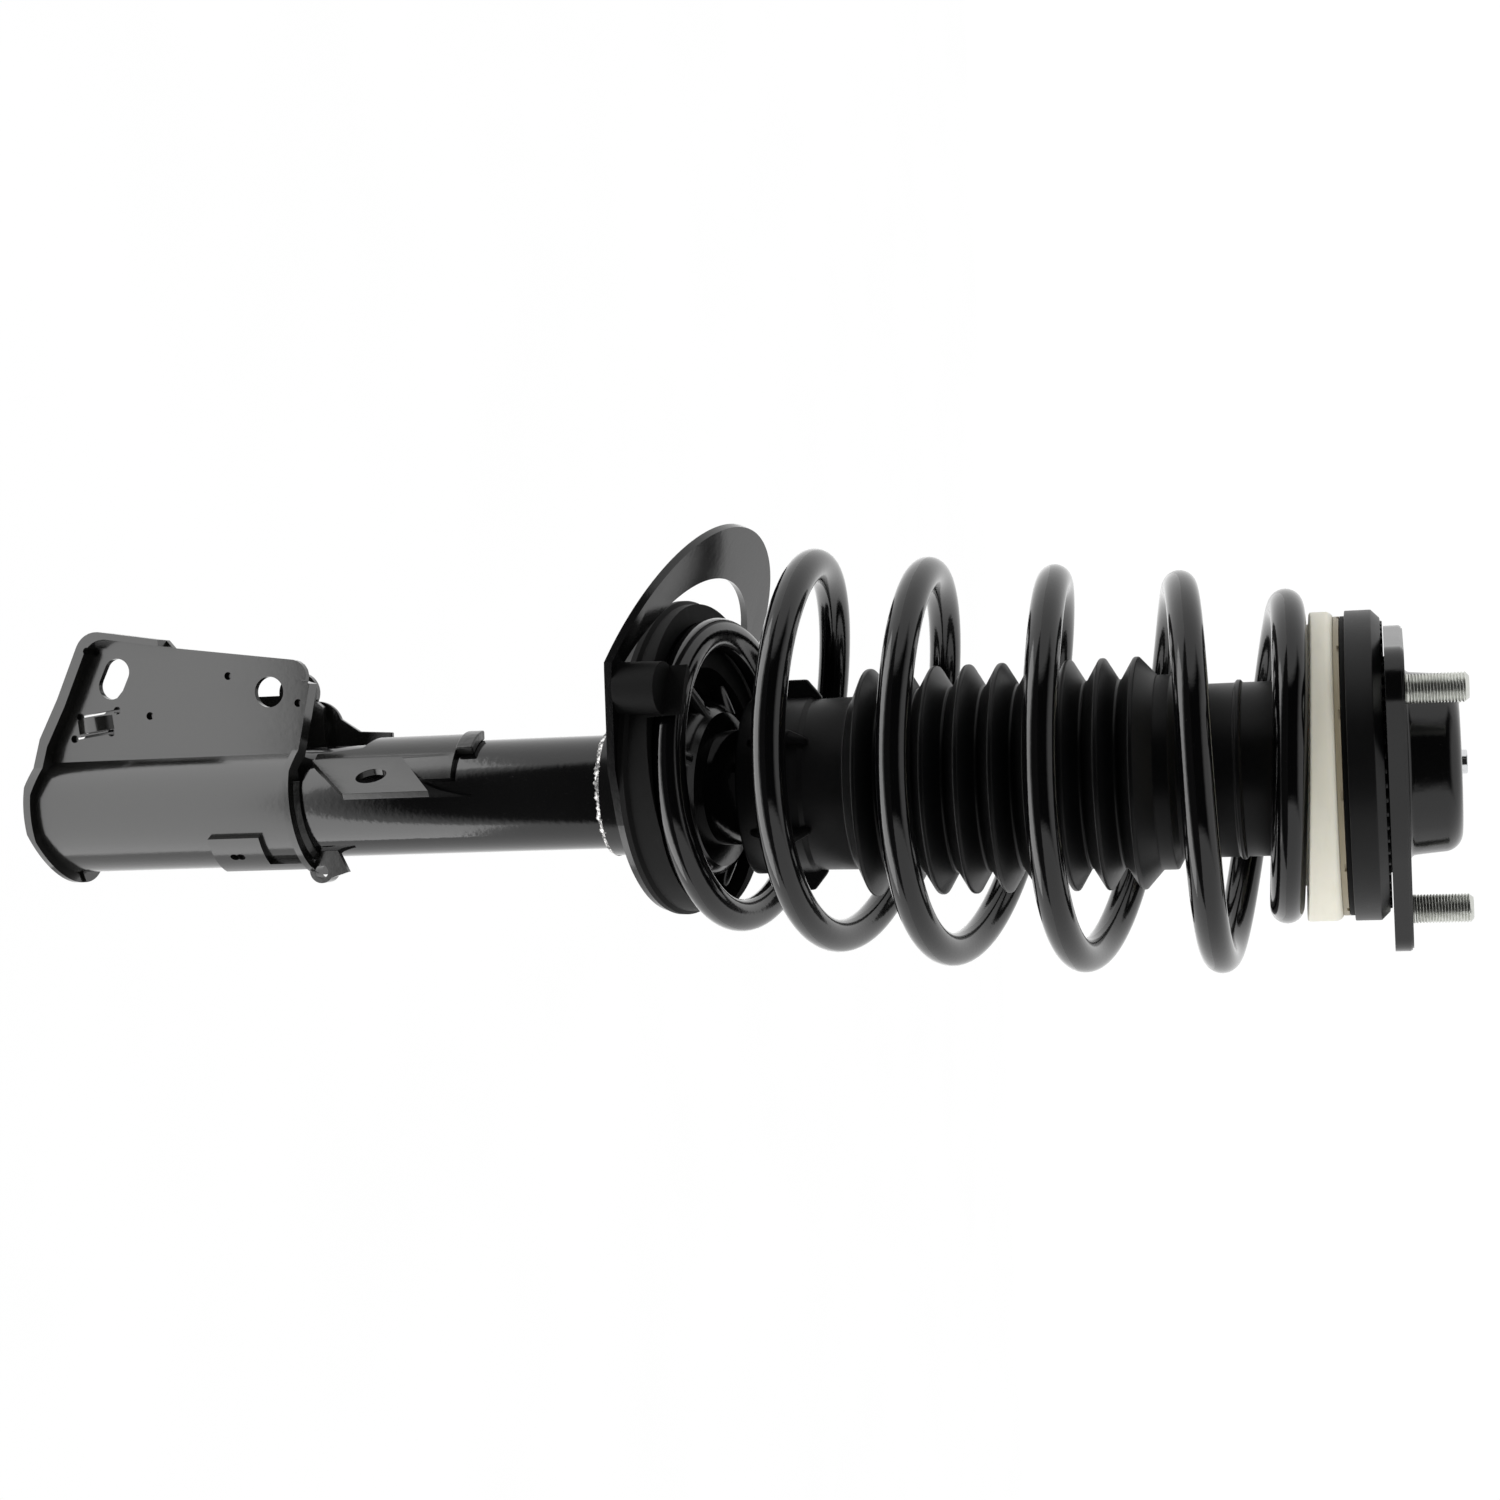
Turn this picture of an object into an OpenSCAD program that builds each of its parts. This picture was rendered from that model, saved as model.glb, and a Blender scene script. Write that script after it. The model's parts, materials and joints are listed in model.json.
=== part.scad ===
// Front suspension strut assembly: a damper with its knuckle bracket, coil spring,
// dust boot and top mount.
// Origin: centre of the mount plate's top face, on the strut axis. +Z is up the strut,
// -X is outboard (the knuckle side), -Y is the side of the stabiliser link bracket.
// Millimetres.

/* [Damper] */
// Outside diameter of the damper tube
tube_d = 51; // [50:0.5:52]
// Wall of the damper tube
tube_wall = 2.5; // [2:0.1:3]
// Diameter of the piston rod
rod_d = 22; // [20:0.5:22]
// Diameter of the bore of the inner cylinder
cylinder_bore_d = 32; // [32:0.5:33]

/* [Coil spring] */
// Diameter of the spring wire
wire_d = 14.5; // [13:0.5:15]

/* [Top mount] */
// Diameter of the mounting studs
stud_d = 12; // [10:1:12]
// Diameter of the circle through the studs
stud_pcd = 121; // [120:1:122]
// Height of the studs above the plate
stud_h = 24.5; // [20:0.5:26]
// Diameter of the domed housing at its foot
dome_d = 76; // [75:1:78]
// Height of the domed housing
dome_h = 21.3; // [20:0.1:23]
// Outside diameter of the bearing cover and of the spring seat ring
ring_d = 129.4; // [128:0.2:130]

/* [Knuckle bracket] */
// Thickness of the bracket's sheet steel
bracket_t = 3.6; // [3:0.1:4]
// Width over the two ears
ears_w = 36; // [35:0.5:37]
// Diameter of the upper knuckle bolt hole
bolt_hole_d = 14; // [12:0.5:15]
// Width of the lower, slotted knuckle bolt hole
slot_w = 12.5; // [12:0.5:14]
// Length of the lower, slotted knuckle bolt hole
slot_l = 19.5; // [18:0.5:22]

/* [Lower spring seat] */
// Height of the seat plate on the strut axis, below the mount plane
seat_drop = 311.2; // [308:0.2:314]
// Thickness of the seat plate
seat_t = 3.5; // [3:0.1:4]

/* [Hidden] */

$fn = 96;
black_paint = [0.09, 0.09, 0.09];
rubber_black = [0.13, 0.13, 0.13];
bare_steel = [0.72, 0.72, 0.74];
zinc = [0.78, 0.79, 0.78];
nylon = [0.86, 0.85, 0.79];
// Clearance between neighbours that don't fit each other
gap = 0.3;
// Radial clearance of a running fit
running = 0.05;
eps = 0.01;

tube_r = tube_d / 2;
tube_bore_r = tube_r - tube_wall;
tube_top_z = -262;
tube_foot_z = -612;
rod_r = rod_d / 2;
cylinder_r = cylinder_bore_d / 2;
cylinder_wall = 2;
wire_r = wire_d / 2;
ring_r = ring_d / 2;
stud_ring_r = stud_pcd / 2;

// ---- small helpers ----

// Points of an arc in a plane, from angle a to angle b
function arc(cx, cy, r, a, b, n = 6) =
    [for (i = [0:n]) [cx + r * cos(a + (b - a) * i / n), cy + r * sin(a + (b - a) * i / n)]];

// A washer or sleeve from z0 to z1
module tube(r_out, r_in, z0, z1) {
    translate([0, 0, z0])
        difference() {
            cylinder(r = r_out, h = z1 - z0);
            translate([0, 0, -1])
                cylinder(r = r_in, h = z1 - z0 + 2);
        }
}

// Turns an outline drawn as [x, z] into a plate standing in the XZ plane, y0 to y1
module upright(y0, y1) {
    translate([0, y1, 0])
        rotate([90, 0, 0])
            linear_extrude(y1 - y0)
                children();
}

// A round bar along Y through [x, z]
module cross_bar(x, z, r, y0, y1) {
    translate([x, y1, z])
        rotate([90, 0, 0])
            cylinder(r = r, h = y1 - y0);
}

// ---- top mount ----

plate_t = 3;
plate_lip = 7.6;
plate_disc_r = 57.7;
plate_corner_r = 17.5;
stud_angles = [0, 120, 240];

// Three-cornered outline: a disc with straight tangents to a round corner at each stud
module plate_outline(inset) {
    disc = plate_disc_r - inset;
    corner = plate_corner_r - inset;
    spread = acos((disc - corner) / stud_ring_r);
    polygon([for (a = stud_angles) each concat(
        arc(stud_ring_r * cos(a), stud_ring_r * sin(a), corner, a - spread, a + spread, 14),
        arc(0, 0, disc, a + spread, a + 120 - spread, 4))]);
}

dome_r = dome_d / 2;
dome_corner = 8;
dome_foot = 2.5;
dome_mouth_r = 18;
stud_neck_r = stud_d / 2 + 0.5;

module mount_plate() {
    edge = 1.2;
    color(black_paint)
        difference() {
            union() {
                translate([0, 0, -plate_lip])
                    linear_extrude(plate_lip - edge)
                        plate_outline(0);
                translate([0, 0, -edge - eps])
                    linear_extrude(edge / 2 + eps)
                        plate_outline(edge / 3);
                translate([0, 0, -edge / 2 - eps])
                    linear_extrude(edge / 2 + eps)
                        plate_outline(edge);
                rotate_extrude()
                    polygon(concat([[0, -1], [dome_r + dome_foot, -1]],
                        arc(dome_r + dome_foot, dome_foot, dome_foot, 270, 180, 4),
                        arc(dome_r - 1 - dome_corner, dome_h - dome_corner, dome_corner, 0, 90, 8),
                        [[0, dome_h]]));
            }
            translate([0, 0, -plate_lip - 1])
                linear_extrude(plate_lip + 1 - plate_t)
                    plate_outline(plate_t);
            rotate_extrude()
                polygon(concat([[0, -plate_t - 1], [dome_r - plate_t, -plate_t - 1]],
                    arc(dome_r - 1 - dome_corner, dome_h - dome_corner, dome_corner - plate_t, 0, 90, 6),
                    [[0, dome_h - plate_t]]));
            translate([0, 0, dome_h - plate_t - 1])
                cylinder(r = dome_mouth_r, h = plate_t + 2);
            for (a = stud_angles)
                rotate(a)
                    translate([stud_ring_r, 0, -plate_t - 1])
                        cylinder(r = stud_neck_r, h = plate_t + 2);
        }
}

module mount_studs() {
    tip = 1.5;
    head_r = 9.5;
    head_t = 3;
    color(zinc)
        for (a = stud_angles)
            rotate(a)
                translate([stud_ring_r, 0, 0]) {
                    translate([0, 0, -plate_t - head_t])
                        cylinder(r = head_r, h = head_t);
                    translate([0, 0, -plate_t - eps])
                        cylinder(r = stud_neck_r, h = plate_t + eps);
                    translate([0, 0, -eps])
                        cylinder(d = stud_d, h = stud_h - tip + eps);
                    translate([0, 0, stud_h - tip - eps])
                        cylinder(d1 = stud_d, d2 = stud_d - 2 * tip, h = tip + eps);
                }
}

sleeve_r = 14;
sleeve_top_z = 7;
sleeve_foot_z = -6;
thread_r = 7;

// Rubber bonded between the dome and the sleeve
module mount_rubber() {
    outer = dome_r - plate_t - 1.1;
    color(rubber_black)
        rotate_extrude()
            polygon([[sleeve_r, -3], [24, -3], [outer, -1.5], [outer, 8], [29, 15], [24, 15],
                [18, 7], [sleeve_r, 5]]);
}

module inner_sleeve() {
    color(bare_steel)
        tube(sleeve_r, thread_r + 0.1, sleeve_foot_z, sleeve_top_z);
}

cup_flange_r = 47;
cup_t = 2;
cup_bore_r = 23;
cup_foot_z = -34;

// Pressed cup that closes the mount from below and holds the bump stop
module lower_cup() {
    color(black_paint) {
        tube(cup_flange_r, cup_bore_r, -plate_t - cup_t, -plate_t);
        tube(cup_bore_r + cup_t, cup_bore_r, cup_foot_z, -plate_t - cup_t + eps);
        tube(cup_bore_r + 1, sleeve_r + 1, -11, -9);
    }
}

cover_top_z = -8.9;
cover_foot_z = -23.1;
cover_bore_r = 36;
tooth_count = 64;

module bearing_cover() {
    chamfer = 3.6;
    boss_r = 45;
    pocket_in = 39.4;
    pocket_out = 52;
    pocket_z = -16;
    tooth_l = 17;
    tooth_w = 2;
    tooth_h = 1.4;
    color(rubber_black) {
        rotate_extrude()
            polygon([[boss_r, cover_top_z], [boss_r, -plate_t - cup_t], [cover_bore_r, -plate_t - cup_t],
                [cover_bore_r, cover_foot_z + 3],
                [pocket_in, cover_foot_z + 3], [pocket_in, pocket_z], [pocket_out, pocket_z],
                [pocket_out, cover_foot_z], [ring_r, cover_foot_z],
                [ring_r, cover_top_z - chamfer], [ring_r - chamfer, cover_top_z]]);
        // slanted teeth under the plate's lip
        for (i = [0:tooth_count - 1])
            rotate(i * 360 / tooth_count)
                translate([boss_r - 1, 0, cover_top_z - 0.5])
                    rotate(24)
                        cube([tooth_l, tooth_w, tooth_h]);
    }
}

seal_r = 62.5;
seal_foot_z = -25;

module bearing_seal() {
    color(rubber_black)
        tube(seal_r, 54, seal_foot_z, cover_foot_z);
}

track_r = 45;
ball_r = 3;
ball_z = -22;
ball_count = 32;
race_in = track_r - 5;
race_out = track_r + 5;
race_half_gap = 1.4;

// A grooved bearing washer from z0 to z1
module race(z0, z1) {
    color(bare_steel)
        rotate_extrude()
            difference() {
                translate([race_in, z0])
                    square([race_out - race_in, z1 - z0]);
                translate([track_r, ball_z])
                    circle(r = ball_r + running);
            }
}

module upper_race() race(ball_z + race_half_gap, -16);
module lower_race() race(-26.5, ball_z - race_half_gap);

module bearing_cage() {
    half_t = 0.9;
    color(nylon)
        difference() {
            tube(race_out - gap, race_in + gap, ball_z - half_t, ball_z + half_t);
            for (i = [0:ball_count - 1])
                rotate(i * 360 / ball_count)
                    translate([track_r, 0, ball_z - 2])
                        cylinder(r = ball_r + running, h = 4);
        }
}

module bearing_balls() {
    color(bare_steel)
        for (i = [0:ball_count - 1])
            rotate(i * 360 / ball_count)
                translate([track_r, 0, ball_z])
                    sphere(r = ball_r, $fn = 24);
}

module rod_washer() {
    color(zinc)
        tube(16.5, thread_r + 0.1, sleeve_top_z, sleeve_top_z + 2.5);
}

module rod_nut() {
    across_flats = 22;
    color(zinc)
        translate([0, 0, sleeve_top_z + 2.5])
            difference() {
                intersection() {
                    cylinder(d = across_flats / cos(30), h = 11, $fn = 6);
                    cylinder(r1 = 14, r2 = 11.6, h = 11);
                }
                translate([0, 0, -1])
                    cylinder(r = thread_r + 0.05, h = 13);
            }
}

rod_foot_z = -334;
stem_r = 6;

module piston_rod() {
    tip_r = 5;
    color(bare_steel) {
        translate([0, 0, rod_foot_z])
            cylinder(r = rod_r, h = sleeve_foot_z - rod_foot_z);
        translate([0, 0, sleeve_foot_z - eps])
            cylinder(r = thread_r, h = 27 + eps);
        translate([0, 0, sleeve_foot_z + 27 - eps])
            cylinder(r = tip_r, h = 3.2 + eps);
        translate([0, 0, rod_foot_z - 30])
            cylinder(r = stem_r, h = 30 + eps);
    }
}

// Urethane bump stop with three waists
module bump_stop() {
    color([0.75, 0.68, 0.48])
        rotate_extrude()
            polygon([[rod_r + 0.2, -12], [22.5, -12], [22.5, -44], [19.5, -47], [19.5, -49],
                [22.5, -53], [22.5, -60], [18.5, -64], [18.5, -66], [21, -70], [21, -78],
                [17, -82], [17, -84], [18.5, -87], [18.5, -98], [15, -105], [13, -105],
                [rod_r + 0.2, -102]]);
}

module rebound_stop() {
    color(bare_steel)
        tube(15, rod_r, -306, -300);
}

module rebound_pad() {
    color(rubber_black)
        tube(15, rod_r, -300, -291.6);
}

piston_r = cylinder_r - 0.4;

module piston() {
    port_count = 8;
    color([0.5, 0.5, 0.5])
        difference() {
            tube(piston_r, stem_r, rod_foot_z - 18, rod_foot_z);
            tube(piston_r + 1, piston_r - 1.2, rod_foot_z - 15, rod_foot_z - 3);
            for (i = [0:port_count - 1])
                rotate(i * 360 / port_count)
                    translate([11, 0, rod_foot_z - 19])
                        cylinder(r = 1.6, h = 20);
        }
}

module piston_band() {
    color([0.35, 0.25, 0.18])
        tube(cylinder_r - running, piston_r - 1.2, rod_foot_z - 15, rod_foot_z - 3);
}

module valve_shims() {
    color(bare_steel)
        for (i = [0:2])
            tube(13 - 2 * i, stem_r, rod_foot_z - 18.6 - 0.6 * i, rod_foot_z - 18 - 0.6 * i);
}

module piston_nut() {
    top = rod_foot_z - 19.8;
    color(zinc)
        difference() {
            translate([0, 0, top - 9])
                cylinder(r = 10, h = 9, $fn = 6);
            translate([0, 0, top - 10])
                cylinder(r = stem_r, h = 11);
        }
}

// ---- spring seat, boot and spring, which steer with the strut ----

base_top_z = -25.3;
seat_ring_top_z = -27.6;

module bearing_base() {
    color([0.72, 0.68, 0.58])
        difference() {
            tube(seal_r, 38, seat_ring_top_z, base_top_z);
            tube(race_out, race_in, -26.5, base_top_z + 1);
            // small clip windows in the edge
            for (i = [0:11])
                rotate(i * 30 + 10)
                    translate([seal_r - 1.2, -2, base_top_z - 0.8])
                        cube([3, 4, 2]);
        }
}

// The ring's underside leans with the coil that rests on it
seat_ring_z = -40.3;
upper_lean_x = -0.04;
upper_lean_y = -0.04;
hub_r = 54.6;
hub_foot_z = -47;
hub_x = -5;
seat_bore_r = 37;
boot_flange_r = 40;

module upper_spring_seat() {
    round_r = 3.5;
    color(nylon)
        difference() {
            union() {
                // the ring, cut along the leaning plane that the spring's top turn follows
                difference() {
                    rotate_extrude()
                        polygon(concat([[seat_bore_r - 1, seat_ring_z - 6], [ring_r, seat_ring_z - 6]],
                            arc(ring_r - round_r, seat_ring_top_z - round_r, round_r, 0, 90),
                            [[seat_bore_r - 1, seat_ring_top_z]]));
                    translate([0, 0, seat_ring_z])
                        rotate([atan(upper_lean_y), -atan(upper_lean_x), 0])
                            translate([0, 0, -20])
                                cylinder(r = ring_r + 20, h = 20);
                }
                translate([hub_x, 0, 0])
                    tube(hub_r, 10, hub_foot_z, seat_ring_z + 5);
            }
            translate([0, 0, hub_foot_z - 1])
                cylinder(r = seat_bore_r, h = 40);
            tube(boot_flange_r + 0.3, 0, seat_ring_top_z - 2, seat_ring_top_z + 1);
        }
}

boot_wall = 1.8;
boot_pleats = 9;
pleat_pitch = 14.46;
pleat_top_z = -109.8;
pleat_r = 50;
valley_r = 40;
boot_foot_z = -279;

// Outer profile of the boot, from its top down
function boot_profile() = concat(
    [[36.8, seat_ring_top_z - 2], [36.8, -66], [38, -67], [38, -68.2], [36.8, -69], [36.8, -93],
        [41.5, -95], [41.5, pleat_top_z + pleat_pitch / 2 + 1]],
    [for (i = [0:boot_pleats - 1]) for (p = [0:1])
        p == 0 ? [pleat_r, pleat_top_z - i * pleat_pitch]
               : [i == boot_pleats - 1 ? 37.5 : valley_r, pleat_top_z - (i + 0.5) * pleat_pitch]],
    [[37.5, -250], [38.5, -252], [38.5, boot_foot_z]]);

module dust_boot() {
    fins = 6;
    outer = boot_profile();
    inner = [for (i = [len(outer) - 1:-1:0]) outer[i] - [boot_wall, 0]];
    color(rubber_black) {
        rotate_extrude()
            polygon(concat(outer, inner));
        tube(boot_flange_r, 34.9, seat_ring_top_z - 2, seat_ring_top_z);
        // fins that guide the boot's foot inside the spring
        for (i = [0:fins - 1])
            rotate(i * 360 / fins + 180)
                upright(-1.5, 1.5)
                    polygon([[37, -246], [46.5, -254], [46.5, -262], [37, -278]]);
    }
}

// Wire path: values at every half turn, joined by smooth curves.
// [centre x, mean radius, height, lean with x, lean with y]
coil_knots = [
    [-6.3, 62, -290.2, 0.047, 0.158], [-6.3, 62, -290.2, 0.047, 0.158],
    [-5.8, 62.5, -288.6, 0.04, 0.15], [-15, 80.9, -257.3, -0.11, 0.13],
    [-13.6, 80.2, -234.1, -0.11, 0.11], [-9, 81, -208.4, -0.12, 0.09],
    [-8, 81.5, -182.9, -0.12, 0.08], [-4, 79.7, -153.4, -0.12, 0.05],
    [-3, 80.2, -125.4, -0.12, 0.03], [-0.5, 77.8, -96.5, -0.07, -0.03],
    [0, 78.2, -73, -0.06, -0.05], [-5, 63.2, -50, -0.04, -0.04],
    [-5, 63.2, -48.7, -0.04, -0.04], [-5, 63.2, -48.7, -0.04, -0.04]];
coil_start = 0.55;
coil_end = 12.45;
coil_rings = 190;
coil_sides = 10;

// Cubic through the knots at t half turns
function knot(i) = coil_knots[max(0, min(len(coil_knots) - 1, i))];
function knot_at(t) =
    let (i = floor(t), f = t - i, a = knot(i - 1), b = knot(i), c = knot(i + 1), d = knot(i + 2))
    0.5 * (2 * b + f * (c - a) + f * f * (2 * a - 5 * b + 4 * c - d)
        + f * f * f * (3 * b - a - 3 * c + d));
function wire_at(t) =
    let (k = knot_at(t), x = k[0] + k[1] * cos(180 * t), y = k[1] * sin(180 * t))
    [x, y, k[2] + k[3] * x + k[4] * y];

function unit(v) = v / norm(v);
// One ring of points round the wire
function wire_ring(t, r) =
    let (p = wire_at(t), run = unit(wire_at(t + 0.01) - wire_at(t - 0.01)),
        side = unit(cross([0, 0, 1], run)), up = cross(run, side))
    [for (j = [0:coil_sides - 1])
        p + r * (cos(360 * j / coil_sides) * side + sin(360 * j / coil_sides) * up)];

module coil_spring() {
    points = [for (i = [0:coil_rings])
        each wire_ring(coil_start + (coil_end - coil_start) * i / coil_rings, wire_r)];
    last = coil_rings * coil_sides;
    color(black_paint)
        polyhedron(points, concat(
            [[for (j = [0:coil_sides - 1]) j]],
            [for (i = [0:coil_rings - 1]) for (j = [0:coil_sides - 1])
                let (a = i * coil_sides + j, b = i * coil_sides + (j + 1) % coil_sides)
                each [[a, a + coil_sides, b], [b, a + coil_sides, b + coil_sides]]],
            [[for (j = [coil_sides - 1:-1:0]) last + j]]));
}

// ---- damper body ----

module damper_tube() {
    color(black_paint)
        tube(tube_r, tube_bore_r, tube_foot_z, tube_top_z);
}

module base_cap() {
    color(black_paint)
        translate([0, 0, tube_foot_z])
            cylinder(r = tube_bore_r, h = 5);
}

module striker_cap() {
    color(black_paint) {
        tube(tube_r + 1.8, tube_r, tube_top_z - 9, tube_top_z + eps);
        tube(tube_r + 1.8, rod_r + 1.2, tube_top_z, tube_top_z + 2);
    }
}

module oil_seal() {
    color(rubber_black)
        tube(tube_bore_r, rod_r + running, -267, tube_top_z);
}

module rod_guide() {
    color([0.55, 0.55, 0.55])
        difference() {
            union() {
                tube(tube_bore_r, 12.6, -285, -267);
                tube(cylinder_r, 12.6, -291, -285 + eps);
            }
            // return ports for the oil
            for (i = [0:5])
                rotate(i * 60)
                    translate([20, 0, -286])
                        cylinder(r = 1.2, h = 8);
        }
}

module guide_bush() {
    color([0.6, 0.45, 0.25])
        tube(12.6, rod_r + running, -289, -269);
}

module inner_cylinder() {
    color(bare_steel)
        tube(cylinder_r + cylinder_wall, cylinder_r, -595, -285);
}

module base_valve() {
    foot = tube_foot_z + 5;
    color([0.5, 0.5, 0.5])
        difference() {
            union() {
                tube(cylinder_r, 3, -595, -588);
                tube(cylinder_r + cylinder_wall, 3, foot, -595 + eps);
            }
            for (i = [0:5])
                rotate(i * 60) {
                    translate([10, 0, foot - 1])
                        cylinder(r = 1.6, h = 30);
                    translate([0, -2, foot - 1])
                        cube([30, 4, 5]);
                }
        }
}

// ---- lower spring seat ----

// Lean of the seat plate: its -Y side lies lower, and its outboard side a little higher
seat_lean_y = 9;
seat_lean_x = 1.8;
pan_x = -14;
pan_r = 68.5;
fold_x = -55;
fold_deg = 25.5;
neck_r = 28.6;
neck_foot_z = -343;
neck_top_z = -300;

// The seat's own frame: its origin where the plate's top meets the strut axis
module seat_frame() {
    translate([0, 0, -seat_drop])
        rotate([seat_lean_y, seat_lean_x, 0])
            children();
}

module seat_outline() {
    wing_x = -52;
    wing_y = 69;
    flank_x = -10;
    flank_y = 72;
    neck_x = 14;
    neck_y = 63;
    corner_r = 5.5;
    translate([pan_x, 0])
        circle(r = pan_r);
    polygon([[fold_x, wing_y + corner_r], [wing_x, wing_y + corner_r],
        [flank_x, flank_y], [neck_x, neck_y], [neck_x, -neck_y], [flank_x, -flank_y],
        [wing_x, -wing_y - corner_r], [fold_x, -wing_y - corner_r]]);
}

hoop_r = 74.5;
hoop_window_r = 67.8;
hoop_window_x = 24;

// The guard hoop, flat, with the fold line on x = 0 and the hoop towards -x
module hoop_outline() {
    difference() {
        intersection() {
            translate([6, 0])
                circle(r = hoop_r);
            translate([-90, -90])
                square([90, 180]);
        }
        translate([hoop_window_x, 0])
            circle(r = hoop_window_r);
    }
}

module lower_spring_seat() {
    hub_h = 19;
    color(black_paint)
        difference() {
            union() {
                seat_frame() {
                    // flat plate with the window between the pan and the hoop
                    translate([0, 0, -seat_t])
                        linear_extrude(seat_t)
                            difference() {
                                seat_outline();
                                difference() {
                                    translate([fold_x + hoop_window_x, 0])
                                        circle(r = hoop_window_r);
                                    translate([pan_x, 0])
                                        circle(r = pan_r);
                                    translate([-46, -90])
                                        square([180, 180]);
                                }
                            }
                    // guard hoop, bent up along the fold
                    translate([fold_x, 0, -seat_t])
                        rotate([0, fold_deg, 0])
                            linear_extrude(seat_t)
                                hoop_outline();
                    // raised hub
                    rotate_extrude()
                        polygon([[24, 0], [47, 0], [43, 3], [38, hub_h - 4], [34, hub_h], [24, hub_h]]);
                    // pressed ribs on the hub's flank
                    for (i = [0:7])
                        rotate(i * 45 + 22.5)
                            translate([34, 0, hub_h - 4])
                                rotate([0, 118, 0])
                                    cylinder(r = 4, h = 15, $fn = 24);
                }
                // drawn neck down the damper tube
                translate([0, 0, neck_foot_z])
                    cylinder(r = neck_r, h = neck_top_z - neck_foot_z);
            }
            translate([0, 0, -400])
                cylinder(r = tube_r, h = 200);
            // hollow under the hub
            seat_frame()
                rotate_extrude()
                    polygon([[30, -seat_t - 1], [44, -seat_t - 1], [40, 2], [35, hub_h - 5],
                        [32.5, hub_h - 3.5], [30, hub_h - 3.5]]);
            // drain hole
            seat_frame()
                rotate(200)
                    translate([39, 0, -10])
                        cylinder(r = 2.2, h = 40);
        }
}

module seat_weld() {
    color([0.62, 0.62, 0.62])
        translate([0, 0, neck_foot_z])
            rotate_extrude()
                difference() {
                    translate([tube_r + 0.4, 0])
                        circle(r = 3.2, $fn = 24);
                    translate([0, -5])
                        square([tube_r, 10]);
                    square([neck_r + 4, 10]);
                }
}

// The wire's bottom turn lies in a plane of its own, a few degrees off the plate's
coil_seat_z = -312;
coil_seat_lean_x = -2.7;
seat_wire_h = 21.5;
groove_x = -5.3;
groove_y = 3.4;
groove_ring_r = 62;
groove_r = wire_r + 1.4;

module coil_seat_frame() {
    translate([0, 0, coil_seat_z])
        rotate([seat_lean_y, coil_seat_lean_x, 0])
            children();
}

// Rubber ring that is thin outboard and thick inboard, with a lug on the wing corner
module lower_isolator() {
    ring_out = 68;
    bead_out = 69.6;
    ring_in = 40;
    hub_room_r = 52.5;
    wall_h = 15.2;
    exit_h = 12.2;
    lug_x = -44;
    lug_y = -63.8;
    lug_r = 11.2;
    lug_h = 19;
    full_h = 30;
    color(rubber_black)
        difference() {
            seat_frame() {
                translate([pan_x, 0, 0])
                    rotate_extrude()
                        polygon([[ring_in, 0], [bead_out, 0], [bead_out, 2.5], [ring_out, 4],
                            [ring_out, full_h], [ring_in, full_h]]);
                translate([lug_x, lug_y, 0])
                    cylinder(r = lug_r, h = lug_h);
            }
            seat_frame()
                translate([0, 0, -1])
                    cylinder(r = hub_room_r, h = full_h + 10);
            coil_seat_frame() {
                // the wall's top, clear of the lug
                difference() {
                    translate([0, 0, wall_h])
                        cylinder(r = 110, h = 40);
                    translate([lug_x, lug_y, 0])
                        cylinder(r = lug_r + 1.5, h = lug_h + 12);
                }
                // lower wall where the wire climbs out
                translate([-25, 0, exit_h])
                    cube([110, 110, 40]);
                // groove for the wire
                translate([groove_x, groove_y, seat_wire_h])
                    rotate_extrude() {
                        translate([groove_ring_r, 0])
                            circle(r = groove_r);
                        translate([groove_ring_r - groove_r, 0])
                            square([2 * groove_r, 30]);
                    }
            }
        }
}

// ---- knuckle bracket ----

wrap_r = tube_r + bracket_t;
ear_y = ears_w / 2;
ear_in_y = ear_y - bracket_t;
bolt_x = -51.2;
bolt_z = -501.5;
slot_x = -60.5;
slot_z = -578.8;
slot_lean = 26;
slot_half = (slot_l - slot_w) / 2;
lip_reach = 27;
flare_r = 34;
bracket_top_z = -484;

// Side outline of the near ear and the wrap, as [x, z]
function near_side() = concat(
    [[40, bracket_top_z], [-15, bracket_top_z - 4], [-54, -479.3]],
    arc(-58, -490.5, 7.5, 70, 172, 5),
    [[-73.5, -548.4], [-77.3, -551.7]],
    arc(-71.2, -582.6, 11, 175, 245, 6),
    [[-52, -603.4], [-34, -613], [-12, -619.3], [10, -618.3], [40, -608]]);

// Side outline of the far ear between its two bolt bosses
function far_side() =
    [[40, bracket_top_z], [-15, bracket_top_z - 4], [-44, -489.5], [-50.2, -497], [-50.2, -525],
        [-49.5, -545], [-55, -566], [-62, -586], [-48, -599], [-34, -613], [-12, -619.3],
        [10, -618.3], [40, -608]];

// The far ear with bosses just large enough for the bolts
module far_outline() {
    boss_wall = 2.6;
    polygon(far_side());
    translate([bolt_x, bolt_z])
        circle(r = bolt_hole_d / 2 + boss_wall);
    for (s = [-1, 1])
        translate([slot_x - s * slot_half * cos(slot_lean), slot_z + s * slot_half * sin(slot_lean)])
            circle(r = slot_w / 2 + boss_wall);
}

// Plan section of the sheet: a wrap round the tube with two parallel ears
module wrap_section(r_out, y_out) {
    difference() {
        union() {
            circle(r = r_out);
            translate([-95, -y_out])
                square([80, 2 * y_out]);
        }
        circle(r = tube_r);
        translate([-96, -ear_in_y])
            square([88, 2 * ear_in_y]);
    }
}

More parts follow.
